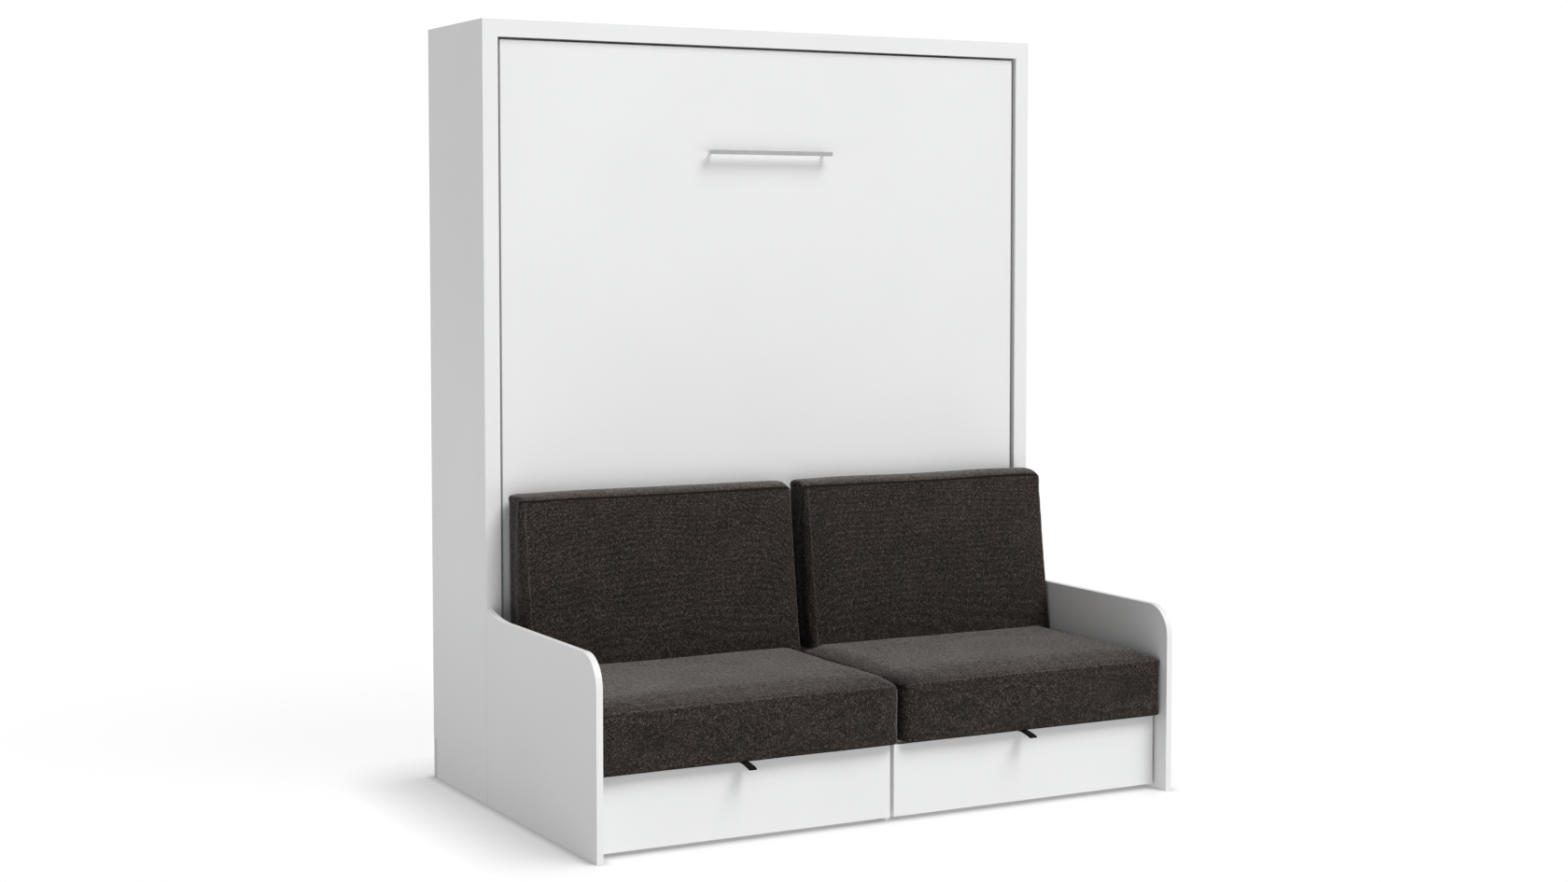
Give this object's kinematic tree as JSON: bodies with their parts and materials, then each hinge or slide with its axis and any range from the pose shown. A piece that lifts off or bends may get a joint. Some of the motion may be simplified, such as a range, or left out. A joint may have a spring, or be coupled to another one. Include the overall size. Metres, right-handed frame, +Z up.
{
  "type": "murphy wall bed",
  "caption": "Wall bed cabinet with a fold-down double bed, a built-in two-seat sofa with loose cushions, and two drawers under the seat.",
  "frame": {"origin": "on the floor, at the middle of the overall width and depth, pull tabs included", "axes": "+Z up, +Y towards the wall behind the cabinet, +X to the right as seen from the front"},
  "size_m": [1.786, 1.18, 2.17],
  "materials": {
    "melamine": "satin",
    "filler": "satin",
    "upholstery": "matte",
    "ticking": "matte",
    "webbing": "matte",
    "handle": "satin",
    "slat_wood": "satin",
    "holder_plastic": "matte",
    "rubber": "matte",
    "zinc": "satin",
    "strut_black": "satin",
    "rod_chrome": "polished",
    "steel_paint": "satin"
  },
  "bodies": {
    "root": {"side_panel_left": "melamine", "side_panel_right": "melamine", "front_stile_left": "melamine", "front_stile_right": "melamine", "top_panel": "melamine", "upper_rear_rail": "melamine", "base_rear_rail": "melamine", "plinth_rail": "melamine", "skirting_fillers": "filler", "corner_brackets": "zinc", "bracket_screws": "zinc", "cabinet_pivot_plates": "zinc", "cabinet_strut_brackets": "zinc", "arm_panel_left": "melamine", "arm_panel_right": "melamine", "centre_divider": "melamine", "seat_board_left": "melamine", "seat_board_right": "melamine", "seat_rear_rail": "melamine", "runner_outer_members": "zinc", "seat_cushion_left": "upholstery", "seat_cushion_right": "upholstery"},
    "drawer_left": {"drawer_front_left": "melamine", "drawer_box_left": "melamine", "drawer_bottom_left": "melamine", "pull_tab_left": "webbing", "runner_inner_left": "zinc"},
    "drawer_right": {"drawer_front_right": "melamine", "drawer_box_right": "melamine", "drawer_bottom_right": "melamine", "pull_tab_right": "webbing", "runner_inner_right": "zinc"},
    "runner_left": {"runner_middle_left": "zinc"},
    "runner_right": {"runner_middle_right": "zinc"},
    "bed": {"door_panel": "melamine", "door_handle": "handle", "bed_side_rail_left": "steel_paint", "bed_side_rail_right": "steel_paint", "bed_head_rail": "steel_paint", "bed_foot_rail": "steel_paint", "bed_centre_rail": "steel_paint", "slats": "slat_wood", "slat_holders": "holder_plastic", "mattress": "ticking", "mattress_straps": "webbing", "bed_pivot_plates": "zinc", "bed_strut_studs": "zinc"},
    "legs": {"leg_axle": "zinc", "leg_bars": "steel_paint", "leg_feet": "rubber"},
    "strut_left": {"strut_cylinder_left": "strut_black"},
    "strut_right": {"strut_cylinder_right": "strut_black"},
    "piston_left": {"strut_rod_left": "rod_chrome"},
    "piston_right": {"strut_rod_right": "rod_chrome"},
    "cushion_left": {"back_cushion_left": "upholstery"},
    "cushion_right": {"back_cushion_right": "upholstery"}
  },
  "joints": [
    {"name": "bed_fold", "type": "hinge", "parent": "root", "child": "bed", "pos_m": [0, 0.239, 0.46], "axis": [1, 0, 0], "range_deg": [0, 90]},
    {"name": "leg_swing", "type": "hinge", "parent": "bed", "child": "legs", "pos_m": [0, 0.223, 2.06], "axis": [1, 0, 0], "range_deg": [-90.5, 0.5]},
    {"name": "cushion_left_slide", "type": "slide", "parent": "bed", "child": "cushion_left", "axis": [0, 0, 1], "range_m": [-0.002, 0.922]},
    {"name": "strut_left_swing", "type": "hinge", "parent": "root", "child": "strut_left", "pos_m": [-0.853, 0.465, 1.06], "axis": [1, 0, 0], "range_deg": [-0.2, 13.49]},
    {"name": "strut_left_stroke", "type": "slide", "parent": "strut_left", "child": "piston_left", "axis": [0, 0.2719, 0.9623], "range_m": [-0.001, 0.23175]},
    {"name": "drawer_left_slide", "type": "slide", "parent": "root", "child": "drawer_left", "axis": [0, -1, 0], "range_m": [0, 0.43]},
    {"name": "runner_left_slide", "type": "slide", "parent": "root", "child": "runner_left", "axis": [0, -1, 0], "range_m": [-0.001, 0.216]},
    {"name": "cushion_right_slide", "type": "slide", "parent": "bed", "child": "cushion_right", "axis": [0, 0, 1], "range_m": [-0.002, 0.922]},
    {"name": "strut_right_swing", "type": "hinge", "parent": "root", "child": "strut_right", "pos_m": [0.853, 0.465, 1.06], "axis": [1, 0, 0], "range_deg": [-0.2, 13.49]},
    {"name": "strut_right_stroke", "type": "slide", "parent": "strut_right", "child": "piston_right", "axis": [0, 0.2719, 0.9623], "range_m": [-0.001, 0.23175]},
    {"name": "drawer_right_slide", "type": "slide", "parent": "root", "child": "drawer_right", "axis": [0, -1, 0], "range_m": [0, 0.43]},
    {"name": "runner_right_slide", "type": "slide", "parent": "root", "child": "runner_right", "axis": [0, -1, 0], "range_m": [-0.001, 0.216]}
  ],
  "couplings": [
    {"joint": "leg_swing", "follows": "bed_fold", "ratio": -1},
    {"joint": "cushion_left_slide", "follows": "bed_fold", "m_per_rad": 0.58569},
    {"joint": "strut_left_swing", "follows": "bed_fold", "ratio": 0.14771},
    {"joint": "strut_left_stroke", "follows": "bed_fold", "m_per_rad": 0.1469},
    {"joint": "runner_left_slide", "follows": "drawer_left_slide", "ratio": 0.5},
    {"joint": "cushion_right_slide", "follows": "bed_fold", "m_per_rad": 0.58569},
    {"joint": "strut_right_swing", "follows": "bed_fold", "ratio": 0.14771},
    {"joint": "strut_right_stroke", "follows": "bed_fold", "m_per_rad": 0.1469},
    {"joint": "runner_right_slide", "follows": "drawer_right_slide", "ratio": 0.5}
  ]
}
